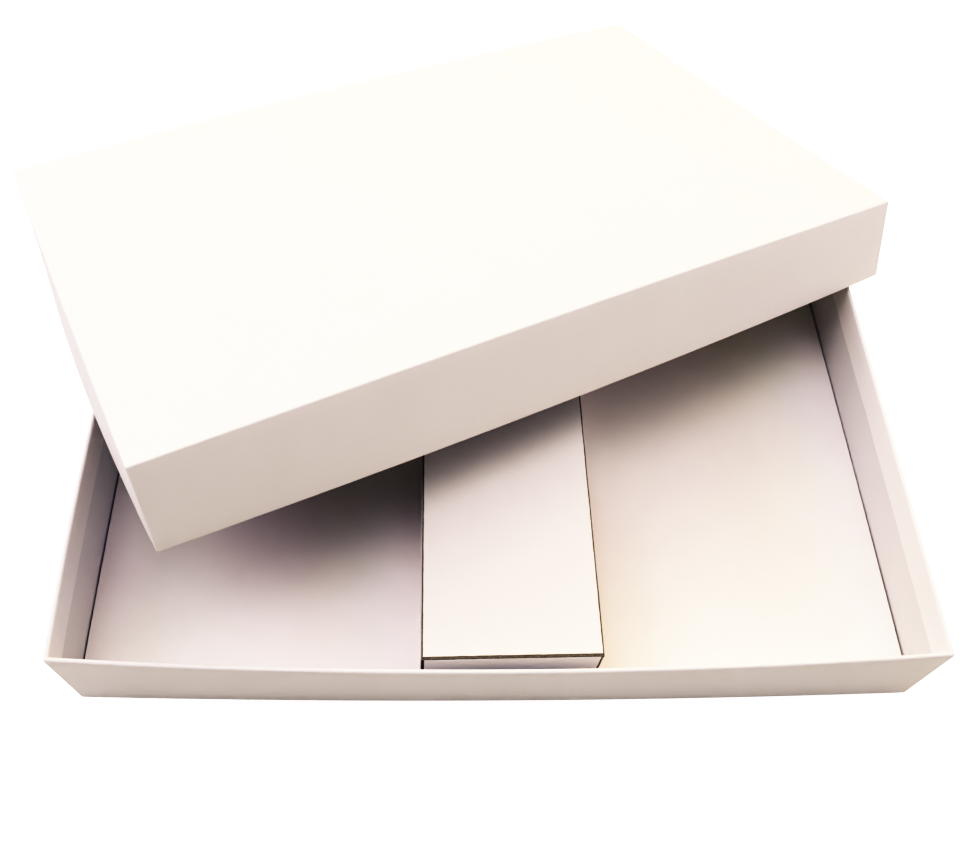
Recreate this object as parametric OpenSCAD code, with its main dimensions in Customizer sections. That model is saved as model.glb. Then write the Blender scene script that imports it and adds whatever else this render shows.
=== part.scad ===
// Rigid gift box in three assemblies: a shallow tray, a telescoping lid that lies askew across
// it, and a stepped insert that carries a raised platform between two low decks.
//
// Frame: the origin is the centre of the tray's underside, +X runs along the tray's width, the
// front wall is at -Y and +Z points up. The lid leans: its left and front walls rest on the
// tray's rims and its far right corner stands on the table behind the tray.

/* [Tray] */
// Outer width of the tray, paper included
tray_w = 320; // [260:1:400]
// Outer depth of the tray, paper included
tray_d = 196; // [150:1:260]
// Height of the tray from the table to its rim
tray_h = 45; // [36:1:60]

/* [Lid] */
// How much wider and deeper the lid is than the tray
lid_oversize = 10; // [6:0.5:14]
// Height of the lid from its free edge to its top
lid_h = 37; // [24:1:60]
// Turn of the lid about the vertical, seen from above
lid_yaw = 26.3; // [0:0.1:30]
// Fall of the lid towards the back
lid_pitch = -12.5; // [-14:0.1:0]
// Fall of the lid towards the right
lid_roll = 3.1; // [0:0.1:5]
// Middle of the lid's free edge, left or right of the tray's centre
lid_x = -22.9; // [-30:0.1:30]
// Middle of the lid's free edge, behind the tray's centre
lid_y = 99.2; // [95:0.1:130]
// Middle of the lid's free edge, above the table
lid_z = 32.2; // [31:0.1:120]

/* [Board and paper] */
// Thickness of the greyboard in the tray and the lid
board_t = 1.4; // [1:0.1:2]
// Thickness of the covering paper
paper_t = 0.15; // [0.1:0.01:0.3]
// Thickness of the corner stays, and of the glue line that levels them out
stay_t = 0.1; // [0.05:0.01:0.2]
// Length of a corner stay along each of the two walls that it joins
stay_leg = 18; // [10:1:30]
// Depth to which the covering paper turns in over the rim
turn_in = 13; // [8:1:20]

/* [Insert] */
// Height of the decks' upper faces above the table
deck_z = 10; // [8:0.5:20]
// Height of the platform's upper face above the table
platform_z = 35.5; // [28:0.5:40]
// Width of the platform
platform_w = 66.5; // [40:0.5:120]
// Offset of the platform to the right of the tray's centre
platform_x = 0.8; // [-5:0.1:5]
// Thickness of the insert's grey core
core_t = 1.1; // [0.8:0.1:1.5]
// Thickness of the white facing laminated onto the core
facing_t = 0.2; // [0.1:0.05:0.3]
// Width of the core laid bare where the facing is cut through for a fold
fold_gap = 0.8; // [0.4:0.1:1.2]
// Clearance between the insert and the tray's walls
insert_play = 0.5; // [0.4:0.1:1]

/* [Hidden] */

paper_white = "white";
stay_brown = "burlywood";
grey_core = "dimgray";
board_grey = "lightgray";

// A shell is one set-up box with its open side up: [outer width, outer depth, outer height]
tray = [tray_w, tray_d, tray_h];
lid = [tray_w + lid_oversize, tray_d + lid_oversize, lid_h];

// From the outside of a shell to the outside of its board
skin_t = paper_t + stay_t;
// From the outside of a shell to its bare inner face
wall_t = skin_t + board_t;
stay_margin = 1;
stay_clear = 0.02;

// Signs of the two sides of each pair
LEFT = -1;
RIGHT = 1;
FRONT = -1;
BACK = 1;

// Insert levels and widths
foot_z = wall_t + 0.1;
deck_core_top = deck_z - facing_t;
deck_core_under = deck_core_top - core_t;
platform_core_top = platform_z - facing_t;
platform_core_under = platform_core_top - core_t;
insert_w = tray_w - 2 * (wall_t + insert_play);
insert_d = tray_d - 2 * (wall_t + insert_play);
platform_d = insert_d;
fold_line_z = platform_z - fold_gap;

// A block from its lowest corner to its highest
module block(low, high) {
    translate(low)
        cube(high - low);
}

// A block given by its ranges along x, y and z, mirrored to the left where side is LEFT
module sided(side, x, y, z) {
    mirror([side == LEFT ? 1 : 0, 0, 0])
        block([x[0], y[0], z[0]], [x[1], y[1], z[1]]);
}

// ---- Set-up shell: scored board, corner stays and covering paper ----

// Bottom panel of the scored board
module base_board(shell) {
    half = [shell.x / 2 - skin_t, shell.y / 2 - skin_t];
    block([-half.x, -half.y, skin_t], [half.x, half.y, wall_t]);
}

// Front or back wall of the board, which runs the full width
module long_board(shell, side) {
    half_w = shell.x / 2 - skin_t;
    outer = shell.y / 2 - skin_t;
    flip = side == FRONT ? 1 : 0;
    mirror([0, flip, 0])
        block([-half_w, outer - board_t, wall_t], [half_w, outer, shell.z - paper_t]);
}

// Left or right wall of the board, which stands between the long walls
module short_board(shell, side) {
    half_d = shell.y / 2 - wall_t;
    outer = shell.x / 2 - skin_t;
    sided(side, [outer - board_t, outer], [-half_d, half_d], [wall_t, shell.z - paper_t]);
}

// Paper stay glued round one corner of the board
module stay(shell, side_x, side_y) {
    corner = [shell.x / 2 - paper_t, shell.y / 2 - paper_t];
    inner = corner - [stay_t - stay_clear, stay_t - stay_clear];
    low = skin_t + stay_margin;
    high = shell.z - skin_t - stay_margin;
    mirror([side_x == LEFT ? 1 : 0, 0, 0])
        mirror([0, side_y == FRONT ? 1 : 0, 0])
            union() {
                block([corner.x - stay_leg, inner.y, low], [corner.x, corner.y, high]);
                block([inner.x, corner.y - stay_leg, low], [corner.x, corner.y, high]);
            }
}

// Covering paper under the bottom panel
module base_wrap(shell) {
    half = [shell.x / 2 - paper_t, shell.y / 2 - paper_t];
    block([-half.x, -half.y, 0], [half.x, half.y, paper_t]);
}

// Covering paper of one wall: up the outside, over the rim and down inside.
// x runs inwards from the outer face, y along the wall; each part has its own half length.
module wrap(height, outside, rim, inside) {
    union() {
        block([0, -outside, 0], [paper_t, outside, height - paper_t]);
        block([0, -rim, height - paper_t], [wall_t, rim, height]);
        block([wall_t, -inside, height - turn_in], [wall_t + paper_t, inside, height]);
    }
}

// Covering paper of the front or back wall
module long_wrap(shell, side) {
    half_w = shell.x / 2;
    mirror([0, side == BACK ? 1 : 0, 0])
        translate([0, -shell.y / 2, 0])
            rotate([0, 0, 90])
                wrap(shell.z, half_w, half_w, half_w - wall_t);
}

// Covering paper of the left or right wall, between the long walls' papers
module short_wrap(shell, side) {
    half_d = shell.y / 2;
    mirror([side == RIGHT ? 1 : 0, 0, 0])
        translate([-shell.x / 2, 0, 0])
            wrap(shell.z, half_d - paper_t, half_d - wall_t, half_d - wall_t - paper_t);
}

// Places a shell's pieces upside down and askew, as the lid lies
module as_lid() {
    translate([lid_x, lid_y, lid_z])
        rotate([lid_pitch, lid_roll, lid_yaw])
            translate([0, 0, lid.z])
                mirror([0, 0, 1])
                    children();
}

// ---- Insert: one folded blank, its core and the facings that the fold cuts separate ----

module platform_core() {
    half_w = platform_w / 2 - facing_t;
    half_d = platform_d / 2 - facing_t;
    translate([platform_x, 0, 0])
        block([-half_w, -half_d, platform_core_under], [half_w, half_d, platform_core_top]);
}

module platform_facing() {
    half_w = platform_w / 2 - fold_gap;
    half_d = platform_d / 2 - fold_gap;
    translate([platform_x, 0, 0])
        block([-half_w, -half_d, platform_core_top], [half_w, half_d, platform_z]);
}

module riser_core(side) {
    outer = platform_w / 2 - facing_t;
    half_d = platform_d / 2 - facing_t - core_t;
    translate([platform_x, 0, 0])
        sided(side, [outer - core_t, outer], [-half_d, half_d], [deck_core_top, platform_core_under]);
}

module riser_facing(side) {
    outer = platform_w / 2;
    half_d = platform_d / 2 - fold_gap;
    translate([platform_x, 0, 0])
        sided(side, [outer - facing_t, outer], [-half_d, half_d], [deck_core_top, fold_line_z]);
}

// Flap that closes the platform's front or back and stands on the tray's floor
module end_of_platform(side, from, to, top) {
    half_w = platform_w / 2 - facing_t - core_t;
    outer = platform_d / 2;
    translate([platform_x, 0, 0])
        mirror([0, side == FRONT ? 1 : 0, 0])
            block([-half_w, outer - to, foot_z], [half_w, outer - from, top]);
}

module flap_core(side) {
    end_of_platform(side, facing_t, facing_t + core_t, platform_core_under);
}

module flap_facing(side) {
    end_of_platform(side, 0, facing_t, fold_line_z);
}

// A deck reaches from the platform's riser to its own end wall
module deck_core(side) {
    inner = platform_w / 2 - facing_t - core_t + side * platform_x;
    half_d = insert_d / 2;
    sided(side, [inner, insert_w / 2 - facing_t], [-half_d, half_d], [deck_core_under, deck_core_top]);
}

module deck_facing(side) {
    inner = platform_w / 2 + side * platform_x;
    half_d = insert_d / 2;
    sided(side, [inner, insert_w / 2 - fold_gap], [-half_d, half_d], [deck_core_top, deck_z]);
}

module end_core(side) {
    outer = insert_w / 2 - facing_t;
    half_d = insert_d / 2;
    sided(side, [outer - core_t, outer], [-half_d, half_d], [foot_z, deck_core_under]);
}

module end_facing(side) {
    outer = insert_w / 2;
    half_d = insert_d / 2;
    sided(side, [outer - facing_t, outer], [-half_d, half_d], [foot_z, deck_z - fold_gap]);
}

// ---- Sub-parts ----

module tray_floor_board() color(board_grey) base_board(tray);
module tray_front_board() color(board_grey) long_board(tray, FRONT);
module tray_back_board() color(board_grey) long_board(tray, BACK);
module tray_left_board() color(board_grey) short_board(tray, LEFT);
module tray_right_board() color(board_grey) short_board(tray, RIGHT);
module tray_front_left_stay() color(stay_brown) stay(tray, LEFT, FRONT);
module tray_front_right_stay() color(stay_brown) stay(tray, RIGHT, FRONT);
module tray_back_left_stay() color(stay_brown) stay(tray, LEFT, BACK);
module tray_back_right_stay() color(stay_brown) stay(tray, RIGHT, BACK);
module tray_base_wrap() color(paper_white) base_wrap(tray);
module tray_front_wrap() color(paper_white) long_wrap(tray, FRONT);
module tray_back_wrap() color(paper_white) long_wrap(tray, BACK);
module tray_left_wrap() color(paper_white) short_wrap(tray, LEFT);
module tray_right_wrap() color(paper_white) short_wrap(tray, RIGHT);

module insert_platform_core() color(grey_core) platform_core();
module insert_left_riser_core() color(grey_core) riser_core(LEFT);
module insert_right_riser_core() color(grey_core) riser_core(RIGHT);
module insert_front_flap_core() color(grey_core) flap_core(FRONT);
module insert_back_flap_core() color(grey_core) flap_core(BACK);
module insert_left_deck_core() color(grey_core) deck_core(LEFT);
module insert_right_deck_core() color(grey_core) deck_core(RIGHT);
module insert_left_end_core() color(grey_core) end_core(LEFT);
module insert_right_end_core() color(grey_core) end_core(RIGHT);
module insert_platform_facing() color(paper_white) platform_facing();
module insert_left_riser_facing() color(paper_white) riser_facing(LEFT);
module insert_right_riser_facing() color(paper_white) riser_facing(RIGHT);
module insert_front_flap_facing() color(paper_white) flap_facing(FRONT);
module insert_back_flap_facing() color(paper_white) flap_facing(BACK);
module insert_left_deck_facing() color(paper_white) deck_facing(LEFT);
module insert_right_deck_facing() color(paper_white) deck_facing(RIGHT);
module insert_left_end_facing() color(paper_white) end_facing(LEFT);
module insert_right_end_facing() color(paper_white) end_facing(RIGHT);

module lid_top_board() color(board_grey) as_lid() base_board(lid);
module lid_front_board() color(board_grey) as_lid() long_board(lid, FRONT);
module lid_back_board() color(board_grey) as_lid() long_board(lid, BACK);
module lid_left_board() color(board_grey) as_lid() short_board(lid, LEFT);
module lid_right_board() color(board_grey) as_lid() short_board(lid, RIGHT);
module lid_front_left_stay() color(stay_brown) as_lid() stay(lid, LEFT, FRONT);
module lid_front_right_stay() color(stay_brown) as_lid() stay(lid, RIGHT, FRONT);
module lid_back_left_stay() color(stay_brown) as_lid() stay(lid, LEFT, BACK);
module lid_back_right_stay() color(stay_brown) as_lid() stay(lid, RIGHT, BACK);
module lid_top_wrap() color(paper_white) as_lid() base_wrap(lid);
module lid_front_wrap() color(paper_white) as_lid() long_wrap(lid, FRONT);
module lid_back_wrap() color(paper_white) as_lid() long_wrap(lid, BACK);
module lid_left_wrap() color(paper_white) as_lid() short_wrap(lid, LEFT);
module lid_right_wrap() color(paper_white) as_lid() short_wrap(lid, RIGHT);

tray_floor_board();
tray_front_board();
tray_back_board();
tray_left_board();
tray_right_board();
tray_front_left_stay();
tray_front_right_stay();
tray_back_left_stay();
tray_back_right_stay();
tray_base_wrap();
tray_front_wrap();
tray_back_wrap();
tray_left_wrap();
tray_right_wrap();

insert_platform_core();
insert_left_riser_core();
insert_right_riser_core();
insert_front_flap_core();
insert_back_flap_core();
insert_left_deck_core();
insert_right_deck_core();
insert_left_end_core();
insert_right_end_core();
insert_platform_facing();
insert_left_riser_facing();
insert_right_riser_facing();
insert_front_flap_facing();
insert_back_flap_facing();
insert_left_deck_facing();
insert_right_deck_facing();
insert_left_end_facing();
insert_right_end_facing();

lid_top_board();
lid_front_board();
lid_back_board();
lid_left_board();
lid_right_board();
lid_front_left_stay();
lid_front_right_stay();
lid_back_left_stay();
lid_back_right_stay();
lid_top_wrap();
lid_front_wrap();
lid_back_wrap();
lid_left_wrap();
lid_right_wrap();
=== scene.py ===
"""Looks of a paper-covered rigid gift box: an open tray with a stepped insert, and its lid leaning across it.

Sizes are worked in millimetres and scaled to metres as each mesh is made. A "shell" is the tray or the lid,
described with its open side up in its own frame; SHELL_MATRIX places it in the frame of the CAD model.
"""

import math
from functools import partial

import bmesh
import bpy
from mathutils import Euler, Matrix, Vector, noise


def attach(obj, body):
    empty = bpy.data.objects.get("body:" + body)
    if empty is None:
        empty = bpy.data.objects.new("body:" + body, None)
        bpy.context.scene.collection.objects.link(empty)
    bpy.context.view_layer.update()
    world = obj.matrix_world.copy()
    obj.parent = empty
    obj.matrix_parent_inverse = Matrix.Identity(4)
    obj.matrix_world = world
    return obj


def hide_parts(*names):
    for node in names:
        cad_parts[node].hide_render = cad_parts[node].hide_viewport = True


MM = 0.001

# ---- Sizes, the same as the CAD model's ----

TRAY = Vector((320.0, 196.0, 45.0))
LID = Vector((330.0, 206.0, 37.0))
LID_TURN = (-12.5, 3.1, 26.3)
LID_PLACE = (-22.9, 99.2, 32.2)
PAPER = 0.15
WALL = 1.65
TURN_IN = 13.0
INSERT_HALF_W = 157.7
INSERT_LIFT = 15.0
PLATFORM_REACH = 40.0

# ---- Camera ----

CAMERA_PLACE = (-35.49, -213.42, 375.00)
CAMERA_YAW, CAMERA_PITCH, CAMERA_ROLL = -7.485, -57.042, 7.068
FOCAL_PX, PICTURE_W = 981.31, 970
SENSOR_W = 36.0

# ---- Light: name, place and size in metres, power in watts, colour ----

LIGHTS = (
    ("above", (0.0, 0.1, 1.3), (1.2, 1.2), 2.55, (0.87, 0.68, 1.00)),
    ("above_left", (-0.6, 0.1, 1.15), (0.8, 1.2), 4.59, (1.00, 1.00, 0.95)),
    ("above_right", (0.6, 0.1, 1.15), (0.8, 1.2), 1.6, (0.78, 1.00, 0.62)),
    ("behind", (0.0, 1.2, 0.9), (1.4, 0.7), 8.34, (1.00, 0.90, 0.53)),
    ("behind_right", (0.9, 0.9, 0.9), (0.8, 0.7), 2.3, (1.00, 0.46, 0.10)),
    ("left", (-1.2, 0.1, 0.9), (1.2, 0.7), 4.6, (0.98, 0.84, 1.00)),
    ("right", (1.2, 0.1, 0.9), (1.2, 0.7), 0.76, (1.00, 0.39, 0.59)),
    ("low_right", (0.85, -0.05, 0.3), (1.0, 0.4), 1.52, (0.94, 0.90, 1.00)),
    ("low_front", (0.0, -1.3, 0.35), (1.4, 0.5), 1.36, (1.00, 0.92, 0.66)),
)
LIGHT_TARGET = (0.0, 0.0, 0.02)
FLOOR_ALBEDO = 0.9
FLOOR_GLOW = 0.55
FLOOR_REACH = 3.0

# ---- Tone curve, in display values from 0 to 1 ----

CONTRAST = 0.95
WHITE_POINT = 0.93
SHADOW_TINT = (-0.012, 0.0, 0.014)
TONE_STEPS = 14

# ---- How far the walls stand out of true ----
# bow: at the middle of the wall, (at the base, at the rim)
# foot and flare: at the base and at the rim, each (at the wall's low end, at its high end)

TRAY_WALLS = {
    "front": {"bow": (2.3, 5.4), "foot": (0.0, 0.3), "flare": (1.7, 0.9)},
    "back": {"bow": (0.3, 1.2), "foot": (0.0, 0.0), "flare": (0.0, 0.0)},
    "left": {"bow": (0.3, 3.0), "foot": (-0.8, 0.0), "flare": (-0.5, -2.0)},
    "right": {"bow": (0.1, 0.3), "foot": (0.5, 0.0), "flare": (-0.6, 0.8)},
}
LID_WALLS = {
    "front": {"bow": (-0.8, 3.3), "foot": (0.5, -0.7), "flare": (6.5, 4.2)},
    "back": {"bow": (4.5, 1.5), "foot": (-4.2, 2.5), "flare": (-1.0, 1.0)},
    "left": {"bow": (0.4, 4.3), "foot": (0.2, -0.8), "flare": (-0.1, -2.0)},
    "right": {"bow": (-1.0, 0.0), "foot": (-0.2, 0.0), "flare": (2.1, 0.0)},
}

# The bulge fades in from the middle of a shell and is whole at this share of its half size
BULGE_WHOLE = 0.95

# ---- Covering paper ----
# LAP is how far the long walls' paper laps round the corners, and EDGE_WAVE the wave of the turned-in edge

RIM_RADIUS = 0.88
FOOT_RADIUS = 0.7
CORNER_RADIUS = 0.85
SMALLEST_RADIUS = 0.12
LAP = 20.0
LAP_STEP = 0.1
EDGE_WAVE = 0.45
WAVES_PER_MM = 0.045

# ---- Boards and insert ----
# TEAR is the unevenness of the insert's torn folds, and ASKEW the platform's turn in radians.
# DECK_REACH is how far the decks' facings reach out over their end folds.
# FOLD_WIDER is how much wider the platform's front fold is.
# The ends follow the walls from EDGE_MARGIN inside, fading in over EDGE_FADE; the turn fades in over FRONT_FADE.

BOARD_BEVEL = 0.45
CORE_BEVEL = 0.2
TEAR = 0.11
ASKEW = 0.017
DECK_REACH = 0.75
FOLD_WIDER = 0.45
EDGE_MARGIN = 12.0
EDGE_FADE = 10.0
FRONT_FADE = 90.0

# ---- Paper and board surfaces: noise scales, and bumps as (strength, distance in metres) ----

WAVE_SCALE = 60
WAVE_BUMP = (0.25, 0.0004)
FIBRE_BUMP = (0.35, 0.00006)
FIBRE_STRETCH = (1, 0.35, 1)
SPECK_SCALE, TORN_SCALE = 1400, 2600
TORN_BUMP = (0.9, 0.0002)
SHEEN_BELOW, SHEEN_ABOVE = 0.06, 0.08

# ---- Fineness of the meshes ----

WALL_STEP = 8.0
EDGE_STEP = 2.0
WRAP_CUTS_LONG, WRAP_CUTS_SHORT = 40, 26
WRAP_ROWS, TURN_IN_ROWS = 7, 3
SAME_POINT = 0.001
CUT_TOLERANCE = 0.0005


def smooth(t):
    """0 below 0, 1 above 1, and an S curve between."""
    t = min(max(t, 0.0), 1.0)
    return t * t * (3 - 2 * t)


def mix(a, b, t):
    return a + (b - a) * t


# ---- Shell frames and their bulges ----


def shell_matrix(size, flipped, turn=(0, 0, 0), place=(0, 0, 0)):
    """From a shell's own frame, open side up, to the CAD frame, in millimetres."""
    rotation = Euler([math.radians(a) for a in turn], "XYZ").to_matrix().to_4x4()
    over = Matrix.Translation((0, 0, size.z)) @ Matrix.Diagonal((1, 1, -1, 1)) if flipped else Matrix()
    return Matrix.Translation(place) @ rotation @ over


SHELL_MATRIX = {
    "tray": shell_matrix(TRAY, False),
    "lid": shell_matrix(LID, True, LID_TURN, LID_PLACE),
}
SHELL_SIZE = {"tray": TRAY, "lid": LID}
SHELL_WALLS = {"tray": TRAY_WALLS, "lid": LID_WALLS}


def outward(wall, along, height):
    """How far a wall stands out at a place along it (-1 to 1) and a share of its height (0 to 1)."""
    bow = mix(*wall["bow"], height) * (1 - along * along)
    foot, flare = (mix(*wall[end], (1 + along) / 2) for end in ("foot", "flare"))
    return bow + mix(foot, flare, height)


def bulge(shell, p):
    """A point of a shell, moved as its walls bow and flare."""
    size, walls = SHELL_SIZE[shell], SHELL_WALLS[shell]
    u, v = p.x / (size.x / 2), p.y / (size.y / 2)
    height = min(max(p.z / size.z, 0.0), 1.0)
    side_x, way_x = ("right", 1) if u > 0 else ("left", -1)
    side_y, way_y = ("back", 1) if v > 0 else ("front", -1)
    x = way_x * outward(walls[side_x], v, height) * smooth(abs(u) / BULGE_WHOLE)
    y = way_y * outward(walls[side_y], u, height) * smooth(abs(v) / BULGE_WHOLE)
    return Vector((p.x + x, p.y + y, p.z))


def under_corner(shell, p):
    """A point of a shell, drawn in under the covering's rounded corner and then moved with the walls."""
    size = SHELL_SIZE[shell]
    reach = CORNER_RADIUS - PAPER
    centre_x = math.copysign(size.x / 2 - CORNER_RADIUS, p.x)
    centre_y = math.copysign(size.y / 2 - CORNER_RADIUS, p.y)
    centre = Vector((centre_x, centre_y))
    out = p.xy - centre
    if out.x * p.x > 0 and out.y * p.y > 0 and out.length > reach:
        out.length = reach
        p = Vector((*(centre + out), p.z))
    return bulge(shell, p)


# ---- Mesh making ----


def add_piece(name, bm, matrix, material, body, slot, nodes, smooth_angle=40):
    """Turns a mesh in millimetres into a piece that rides on a body in place of some CAD nodes."""
    bm.transform(Matrix.Scale(MM, 4) @ matrix)
    if matrix.determinant() < 0:
        bmesh.ops.reverse_faces(bm, faces=bm.faces)
    mesh = bpy.data.meshes.new(name)
    bm.to_mesh(mesh)
    bm.free()
    mesh.shade_smooth()
    mesh.set_sharp_from_angle(angle=math.radians(smooth_angle))
    mesh.materials.append(material)
    piece = bpy.data.objects.new(name, mesh)
    bpy.context.scene.collection.objects.link(piece)
    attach(piece, body)
    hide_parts(*nodes)
    return piece


def node_mesh(frame, node, matrix):
    """A CAD node's solid with its flat faces whole, in millimetres in the frame that matrix leads from."""
    bm = bmesh.new()
    bm.from_mesh(frame["nodes"][node].data)
    bm.transform(matrix.inverted() @ Matrix.Scale(1 / MM, 4))
    bmesh.ops.remove_doubles(bm, verts=bm.verts, dist=SAME_POINT)
    bmesh.ops.dissolve_limit(bm, angle_limit=math.radians(1), verts=bm.verts, edges=bm.edges)
    if matrix.determinant() < 0:
        bmesh.ops.reverse_faces(bm, faces=bm.faces)
    return bm


def cut_up(bm, step):
    """Cuts a mesh along x and y into pieces about one step long, so that it can bend."""
    for axis in (0, 1):
        reach = [v.co[axis] for v in bm.verts]
        low, high = min(reach), max(reach)
        count = int((high - low) / step)
        normal = Vector((axis == 0, axis == 1, 0))
        for i in range(1, count + 1):
            place = normal * mix(low, high, i / (count + 1))
            everything = bm.verts[:] + bm.edges[:] + bm.faces[:]
            bmesh.ops.bisect_plane(bm, geom=everything, plane_co=place, plane_no=normal, dist=CUT_TOLERANCE)


def reworked_node(frame, node, shell, material, slot, bevel, step, move):
    """A CAD node's solid again, with softened edges, and bent by move."""
    matrix = SHELL_MATRIX[shell] if shell in SHELL_MATRIX else Matrix()
    bm = node_mesh(frame, node, matrix)
    if bevel:
        bmesh.ops.bevel(bm, geom=bm.edges[:], offset=bevel, segments=2, profile=0.6, affect="EDGES")
    cut_up(bm, step)
    for v in bm.verts:
        v.co = move(v.co)
    return add_piece("fine_" + node, bm, matrix, material, shell, slot, [node])


# ---- Covering paper ----


def rounded_ring(half_w, half_d, radius, spots_w, spots_d, arc=5):
    """Points round a rectangle with rounded corners, anticlockwise from the front left corner."""
    points = []
    corners = ((-1, -1, 180), (1, -1, 270), (1, 1, 0), (-1, 1, 90))
    for i, (sx, sy, start) in enumerate(corners):
        centre = Vector((sx * (half_w - radius), sy * (half_d - radius)))
        for k in range(arc + 1):
            a = math.radians(start + 90 * k / arc)
            points.append(centre + radius * Vector((math.cos(a), math.sin(a))))
        nx, ny, _ = corners[(i + 1) % 4]
        next_centre = Vector((nx * (half_w - radius), ny * (half_d - radius)))
        a = math.radians(start + 90)
        side = radius * Vector((math.cos(a), math.sin(a)))
        begin, end = centre + side, next_centre + side
        spots = spots_w if i % 2 == 0 else spots_d
        points.extend(begin.lerp(end, s) for s in spots)
    return points


def arc_profile(centre, radius, start, end, count=4):
    """Points on an arc in a wall's section, as (inset from the outer face, height)."""
    for k in range(count + 1):
        a = math.radians(mix(start, end, k / count))
        yield (centre[0] + radius * math.cos(a), centre[1] + radius * math.sin(a))


def covering_profile(height):
    """Section of the covering paper as (inset, height): up the wall, over the rim, down inside, and back."""
    full = WALL + PAPER
    r = RIM_RADIUS
    yield from arc_profile((FOOT_RADIUS, FOOT_RADIUS), FOOT_RADIUS, 270, 180)
    for k in range(1, WRAP_ROWS):
        yield (0.0, mix(FOOT_RADIUS, height - r, k / WRAP_ROWS))
    yield from arc_profile((r, height - r), r, 180, 90)
    yield from arc_profile((full - r, height - r), r, 90, 0)
    for k in range(1, TURN_IN_ROWS + 1):
        yield (full, mix(height - r, height - TURN_IN, k / TURN_IN_ROWS))
    yield (full - PAPER, height - TURN_IN)
    inner = r - PAPER
    yield from arc_profile((full - r, height - r), inner, 0, 90)
    yield from arc_profile((r, height - r), inner, 90, 180)
    yield from arc_profile((FOOT_RADIUS, FOOT_RADIUS), FOOT_RADIUS - PAPER, 180, 270)


def seam(size, p, inset):
    """How far the outer paper lies in between the laps that the long walls' paper makes round the corners."""
    on_side = abs(p.x) > size.x / 2 - inset - 10 * SAME_POINT
    between = abs(p.y) < size.y / 2 - LAP
    return math.copysign(LAP_STEP, p.x) if on_side and between and inset < WALL / 2 else 0.0


def covering(shell):
    """The covering paper of a shell as one closed sheet."""
    size = SHELL_SIZE[shell]
    bm = bmesh.new()
    spots_w = [k / WRAP_CUTS_LONG for k in range(1, WRAP_CUTS_LONG)]
    spots_d = [k / WRAP_CUTS_SHORT for k in range(1, WRAP_CUTS_SHORT)]
    lap = (LAP - CORNER_RADIUS) / (size.y - 2 * CORNER_RADIUS)
    edge = LAP_STEP / size.y
    spots_d = sorted(spots_d + [lap - edge, lap + edge, 1 - lap - edge, 1 - lap + edge])
    rings = []
    for inset, z in covering_profile(size.z):
        radius = max(CORNER_RADIUS - inset, SMALLEST_RADIUS)
        flat = rounded_ring(size.x / 2 - inset, size.y / 2 - inset, radius, spots_w, spots_d)
        turned_in = inset > WALL / 2 and z > FOOT_RADIUS * 2
        drop = (size.z - z) / TURN_IN * EDGE_WAVE if turned_in else 0
        ring = []
        for p in flat:
            wave = noise.noise(Vector((p.x * WAVES_PER_MM, p.y * WAVES_PER_MM, size.z)))
            point = Vector((p.x - seam(size, p, inset), p.y, z + drop * wave))
            ring.append(bm.verts.new(bulge(shell, point)))
        rings.append(ring)
    count = len(rings[0])
    for low, high in zip(rings, rings[1:]):
        for i in range(count):
            j = (i + 1) % count
            bm.faces.new((low[i], low[j], high[j], high[i]))
    bm.faces.new(list(reversed(rings[0])))
    bm.faces.new(rings[-1])
    bmesh.ops.recalc_face_normals(bm, faces=bm.faces)
    return bm


# ---- Insert ----


def ragged(p):
    """How a half-cut board tears along its folds: a small unevenness in x and y."""
    x = noise.noise(Vector((p.y * 0.55, p.z * 0.3, 11.0))) + 0.6 * noise.noise(Vector((p.y * 1.7, p.z, 3.0)))
    y = noise.noise(Vector((p.x * 0.55, p.z * 0.3, 7.0))) + 0.6 * noise.noise(Vector((p.x * 1.7, p.z, 5.0)))
    return Vector((x, y, 0)) * TEAR


def beside_wall(p):
    """How far a point at the insert's edge moves in x, to follow the wall and stay clear of it when lifted."""
    shifts = [bulge("tray", p + Vector((0, 0, lift))).x - p.x for lift in (0, INSERT_LIFT)]
    return min(shifts) if p.x > 0 else max(shifts)


def settle(node, p):
    """A point of the insert, moved so that its ends follow the walls and its platform sits a little askew."""
    edge = smooth((abs(p.x) - INSERT_HALF_W + EDGE_MARGIN) / EDGE_FADE)
    moved = p + ragged(p)
    moved.x += beside_wall(p) * edge
    if node.endswith("deck_facing"):
        moved.x += math.copysign(DECK_REACH, p.x) * edge
    front = smooth(-p.y / FRONT_FADE)
    if abs(p.x) < PLATFORM_REACH:
        moved.y += ASKEW * p.x * front
    if node == "insert_platform_facing" and p.y < 0:
        moved.y += FOLD_WIDER * front
    return moved


# ---- Materials ----


def new_material(name):
    material = bpy.data.materials.new(name)
    material.use_nodes = True
    tree = material.node_tree
    return material, tree, tree.nodes["Principled BSDF"]


def object_coordinates(tree, scale):
    coordinates = tree.nodes.new("ShaderNodeTexCoord")
    mapping = tree.nodes.new("ShaderNodeMapping")
    mapping.inputs["Scale"].default_value = scale
    tree.links.new(coordinates.outputs["Object"], mapping.inputs["Vector"])
    return mapping.outputs["Vector"]


def noise_node(tree, vector, scale, detail, roughness=0.6):
    node = tree.nodes.new("ShaderNodeTexNoise")
    node.inputs["Scale"].default_value = scale
    node.inputs["Detail"].default_value = detail
    node.inputs["Roughness"].default_value = roughness
    tree.links.new(vector, node.inputs["Vector"])
    return node.outputs["Fac"]


def ramp_node(tree, value, stops):
    node = tree.nodes.new("ShaderNodeValToRGB")
    elements = node.color_ramp.elements
    for element, (position, colour) in zip(elements, stops):
        element.position, element.color = position, (*colour, 1)
    tree.links.new(value, node.inputs["Fac"])
    return node.outputs["Color"]


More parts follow.
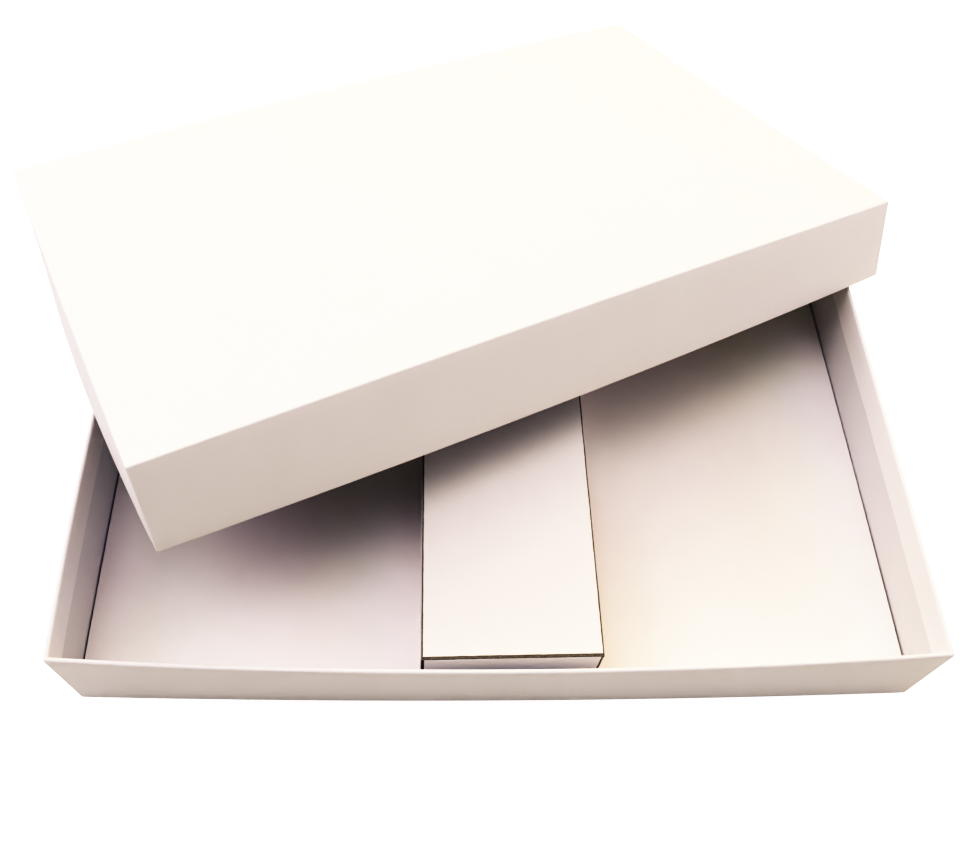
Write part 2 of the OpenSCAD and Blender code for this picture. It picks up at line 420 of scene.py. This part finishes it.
def bump_node(tree, value, strength, distance, normal=None):
    node = tree.nodes.new("ShaderNodeBump")
    node.inputs["Strength"].default_value = strength
    node.inputs["Distance"].default_value = distance
    tree.links.new(value, node.inputs["Height"])
    if normal is not None:
        tree.links.new(normal, node.inputs["Normal"])
    return node.outputs["Normal"]


def paper_material(name, light, dark, roughness, fibre, mottle):
    """Paper: cloudy colour from its formation, fine fibres, and faint waves from the board under it."""
    material, tree, shader = new_material(name)
    cloud = noise_node(tree, object_coordinates(tree, (1, 1, 1)), mottle, 5)
    tree.links.new(ramp_node(tree, cloud, ((0.3, dark), (0.7, light))), shader.inputs["Base Color"])
    fibres = noise_node(tree, object_coordinates(tree, FIBRE_STRETCH), fibre, 6, 0.75)
    waves = noise_node(tree, object_coordinates(tree, (1, 1, 1)), WAVE_SCALE, 3)
    broad = bump_node(tree, waves, *WAVE_BUMP)
    tree.links.new(bump_node(tree, fibres, *FIBRE_BUMP, broad), shader.inputs["Normal"])
    sheen = tree.nodes.new("ShaderNodeMapRange")
    sheen.inputs["To Min"].default_value = roughness - SHEEN_BELOW
    sheen.inputs["To Max"].default_value = roughness + SHEEN_ABOVE
    tree.links.new(fibres, sheen.inputs["Value"])
    tree.links.new(sheen.outputs["Result"], shader.inputs["Roughness"])
    shader.inputs["Specular IOR Level"].default_value = 0.35
    return material


def core_material(name, light, dark):
    """Raw greyboard: pulp with dark and light specks and a torn surface."""
    material, tree, shader = new_material(name)
    specks = noise_node(tree, object_coordinates(tree, (1, 1, 1)), SPECK_SCALE, 4, 0.8)
    tree.links.new(ramp_node(tree, specks, ((0.35, dark), (0.7, light))), shader.inputs["Base Color"])
    torn = noise_node(tree, object_coordinates(tree, (1, 1, 3)), TORN_SCALE, 5, 0.8)
    tree.links.new(bump_node(tree, torn, *TORN_BUMP), shader.inputs["Normal"])
    shader.inputs["Roughness"].default_value = 0.95
    shader.inputs["Specular IOR Level"].default_value = 0.1
    return material


# ---- Stage ----


def area_light(name, place, size, power, colour):
    light = bpy.data.lights.new(name, "AREA")
    light.shape = "RECTANGLE"
    light.size, light.size_y = size
    light.energy = power
    light.color = colour
    lamp = bpy.data.objects.new(name, light)
    lamp.location = place
    lamp.rotation_euler = (Vector(LIGHT_TARGET) - Vector(place)).to_track_quat("-Z", "Y").to_euler()
    bpy.context.scene.collection.objects.link(lamp)


def seen_only_emission(tree, strength, shader_type, socket):
    """An emission that the camera sees and that lights nothing."""
    path = tree.nodes.new("ShaderNodeLightPath")
    scale = tree.nodes.new("ShaderNodeMath")
    scale.operation = "MULTIPLY"
    scale.inputs[1].default_value = strength
    tree.links.new(path.outputs["Is Camera Ray"], scale.inputs[0])
    glow = tree.nodes.new(shader_type)
    tree.links.new(scale.outputs["Value"], glow.inputs["Strength"])
    return glow.outputs[socket]


def add_floor():
    mesh = bpy.data.meshes.new("floor")
    corners = [(x * FLOOR_REACH, y * FLOOR_REACH, 0) for x, y in ((-1, -1), (1, -1), (1, 1), (-1, 1))]
    mesh.from_pydata(corners, [], [(0, 1, 2, 3)])
    floor = bpy.data.objects.new("floor", mesh)
    bpy.context.scene.collection.objects.link(floor)
    material, tree, shader = new_material("pale_floor")
    shader.inputs["Base Color"].default_value = (FLOOR_ALBEDO, FLOOR_ALBEDO, FLOOR_ALBEDO, 1)
    shader.inputs["Roughness"].default_value = 0.9
    both = tree.nodes.new("ShaderNodeAddShader")
    tree.links.new(shader.outputs["BSDF"], both.inputs[0])
    glow = seen_only_emission(tree, FLOOR_GLOW, "ShaderNodeEmission", "Emission")
    tree.links.new(glow, both.inputs[1])
    tree.links.new(both.outputs["Shader"], tree.nodes["Material Output"].inputs["Surface"])
    mesh.materials.append(material)


def add_world():
    """A white surround that the camera sees and that lights nothing."""
    world = bpy.data.worlds.new("surround")
    bpy.context.scene.world = world
    world.use_nodes = True
    tree = world.node_tree
    tree.nodes.clear()
    output = tree.nodes.new("ShaderNodeOutputWorld")
    glow = seen_only_emission(tree, 1.0, "ShaderNodeBackground", "Background")
    tree.links.new(glow, output.inputs["Surface"])


def to_linear(v):
    """An sRGB display value as scene light."""
    return v / 12.92 if v <= 0.04045 else ((v + 0.055) / 1.055) ** 2.4


def shape_curve(curve, white, toned):
    """Bends a colour curve so that display value v, as a share of white, becomes toned(v)."""
    for i in range(1, TONE_STEPS):
        v = i / TONE_STEPS
        curve.points.new(to_linear(v * white), to_linear(toned(v)))
    curve.points[-1].location = (to_linear(white), 1.0)


def contrasted(v):
    """A display value, darker below middle grey and lighter above it."""
    return v + CONTRAST * math.sin(2 * math.pi * (v - 0.5)) / (2 * math.pi)


def tinted(tint, v):
    """A display value, shifted in the shadows only."""
    return v + tint * math.sin(2 * math.pi * v) if v < 0.5 else v


def set_tone():
    """Deeper shadows and lifted lights, as a lit studio picture has, with the shadows a little cool."""
    settings = bpy.context.scene.view_settings
    settings.view_transform = "Standard"
    settings.use_curve_mapping = True
    red, green, blue, combined = settings.curve_mapping.curves
    shape_curve(combined, WHITE_POINT, contrasted)
    for curve, tint in zip((red, green, blue), SHADOW_TINT):
        if tint:
            shape_curve(curve, 1.0, partial(tinted, tint))
    settings.curve_mapping.update()


def add_camera():
    yaw, pitch, roll = (math.radians(a) for a in (CAMERA_YAW, CAMERA_PITCH, CAMERA_ROLL))
    ahead = Vector((-math.sin(yaw) * math.cos(pitch), math.cos(yaw) * math.cos(pitch), math.sin(pitch)))
    right = Vector((math.cos(yaw), math.sin(yaw), 0))
    up = right.cross(ahead)
    across = math.cos(roll) * right + math.sin(roll) * up
    upward = -math.sin(roll) * right + math.cos(roll) * up
    camera = bpy.data.objects.new("camera", bpy.data.cameras.new("camera"))
    camera.data.sensor_fit = "HORIZONTAL"
    camera.data.sensor_width = SENSOR_W
    camera.data.lens = FOCAL_PX / PICTURE_W * SENSOR_W
    camera.data.clip_start, camera.data.clip_end = 0.01, 10
    turn = Matrix((across, upward, -ahead)).transposed().to_4x4()
    camera.matrix_world = Matrix.Translation(Vector(CAMERA_PLACE) * MM) @ turn
    bpy.context.scene.collection.objects.link(camera)
    bpy.context.scene.camera = camera


# ---- The scene ----

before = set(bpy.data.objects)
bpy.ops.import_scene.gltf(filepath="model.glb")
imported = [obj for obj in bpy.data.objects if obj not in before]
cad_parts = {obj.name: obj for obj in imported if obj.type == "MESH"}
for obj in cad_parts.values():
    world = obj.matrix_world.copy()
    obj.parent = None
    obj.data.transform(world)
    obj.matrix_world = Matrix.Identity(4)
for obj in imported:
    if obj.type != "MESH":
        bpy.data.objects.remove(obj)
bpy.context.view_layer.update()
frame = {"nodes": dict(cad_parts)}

paper = paper_material("covering_paper", (0.905, 0.878, 0.858), (0.885, 0.857, 0.836), 0.62, 900, 26)
liner = paper_material("lined_board", (0.755, 0.74, 0.73), (0.73, 0.715, 0.705), 0.75, 1100, 40)
facing = paper_material("insert_facing", (0.895, 0.855, 0.82), (0.87, 0.83, 0.795), 0.7, 1000, 55)
# The insert's flaps get a facing painted a cooler and brighter white than the rest: painted cool light, standing
# in for the bluish light on the shaded front flap.
painted_cool_light_facing = paper_material("insert_flap_facing", (0.9, 0.92, 0.99), (0.87, 0.89, 0.965), 0.7, 1000, 55)
core = core_material("grey_core", (0.27, 0.245, 0.19), (0.12, 0.108, 0.08))
kraft = paper_material("kraft_stay", (0.5, 0.36, 0.22), (0.42, 0.29, 0.17), 0.8, 800, 30)

SKINS = {
    "board": (liner, "set_up_board", BOARD_BEVEL, WALL_STEP),
    "stay": (kraft, "corner_stay", 0, WALL_STEP),
    "core": (core, "insert_core", CORE_BEVEL, WALL_STEP),
    "facing": (facing, "insert_facing", 0, EDGE_STEP),
}

for node in sorted(frame["nodes"]):
    shell, kind = node.split("_")[0], node.split("_")[-1]
    if kind not in SKINS:
        continue
    material, slot, bevel, step = SKINS[kind]
    # Both flaps take the facing with the painted cool light.
    if "flap_facing" in node:
        material = painted_cool_light_facing
    move = settle if shell == "insert" else under_corner
    guide = node if shell == "insert" else shell
    reworked_node(frame, node, shell, material, slot, bevel, step, partial(move, guide))

for shell in SHELL_MATRIX:
    wraps = [n for n in sorted(frame["nodes"]) if n.startswith(shell) and n.endswith("_wrap")]
    name = "fine_" + shell + "_covering"
    add_piece(name, covering(shell), SHELL_MATRIX[shell], paper, shell, "covering_paper", wraps)

add_floor()
add_world()
for light in LIGHTS:
    area_light(*light)
add_camera()
set_tone()
